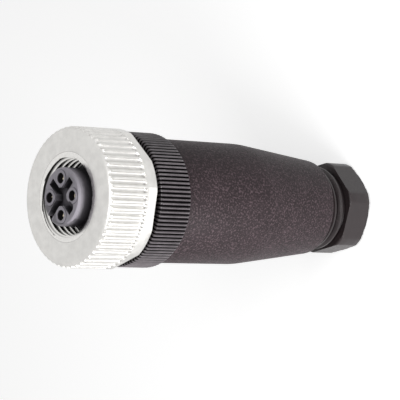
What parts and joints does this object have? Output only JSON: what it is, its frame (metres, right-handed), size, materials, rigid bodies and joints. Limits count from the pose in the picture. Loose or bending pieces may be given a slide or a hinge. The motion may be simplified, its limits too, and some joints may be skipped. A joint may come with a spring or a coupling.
{
  "type": "m12 cable connector",
  "caption": "Straight M12 socket connector for a cable, with a fluted metal coupling nut, a ribbed grip ring, a tapered black housing and a hollow gland screw.",
  "frame": {"origin": "centre of the flat rear face of the gland screw's head, on which the connector stands", "axes": "+Z along the plug axis from the gland to the mating face; +X and +Y across it"},
  "size_m": [0.02, 0.02, 0.0538],
  "materials": {
    "nickel": "satin",
    "spring_steel": "satin",
    "screw_steel": "satin",
    "contact_metal": "satin",
    "washer_metal": "satin",
    "insert_plastic": "matte",
    "block_plastic": "matte",
    "housing_plastic": "matte",
    "grip_plastic": "matte",
    "gland_plastic": "matte",
    "seal_rubber": "matte"
  },
  "bodies": {
    "housing": {"housing": "housing_plastic", "seat_washer": "washer_metal", "cable_seal": "seal_rubber"},
    "carrier": {"contact_insert": "insert_plastic", "terminal_block": "block_plastic", "socket_contact_1": "contact_metal", "socket_contact_2": "contact_metal", "socket_contact_3": "contact_metal", "socket_contact_4": "contact_metal", "terminal_screws": "screw_steel", "face_seal": "seal_rubber", "housing_seal": "seal_rubber"},
    "grip_ring": {"grip_ring": "grip_plastic"},
    "snap_ring": {"snap_ring": "spring_steel"},
    "coupling_nut": {"coupling_nut": "nickel"},
    "thrust_washer": {"thrust_washer": "washer_metal"},
    "gland_screw": {"gland_screw": "gland_plastic"}
  },
  "joints": [
    {"name": "carrier_slide", "type": "slide", "parent": "housing", "child": "carrier", "axis": [0, 0, 1], "range_m": [0, 0.003]},
    {"name": "grip_ring_turn", "type": "hinge", "parent": "carrier", "child": "grip_ring", "pos_m": [0, 0, 0], "axis": [0, 0, 1], "range_deg": [0, 1080.1]},
    {"name": "nut_float", "type": "slide", "parent": "carrier", "child": "snap_ring", "axis": [0, 0, 1], "range_m": [0, 0.0012]},
    {"name": "nut_spin", "type": "hinge", "parent": "snap_ring", "child": "coupling_nut", "pos_m": [0, 0, 0], "axis": [0, 0, 1], "continuous": true},
    {"name": "gland_travel", "type": "slide", "parent": "housing", "child": "thrust_washer", "axis": [0, 0, 1], "range_m": [0, 0.00317], "deforming": ["cable_seal"]},
    {"name": "gland_turn", "type": "hinge", "parent": "thrust_washer", "child": "gland_screw", "pos_m": [0, 0, 0], "axis": [0, 0, 1], "range_deg": [0, 900.1]}
  ],
  "couplings": [
    {"joint": "grip_ring_turn", "follows": "carrier_slide", "rad_per_m": 6283.2},
    {"joint": "gland_turn", "follows": "gland_travel", "rad_per_m": 4947.4}
  ]
}
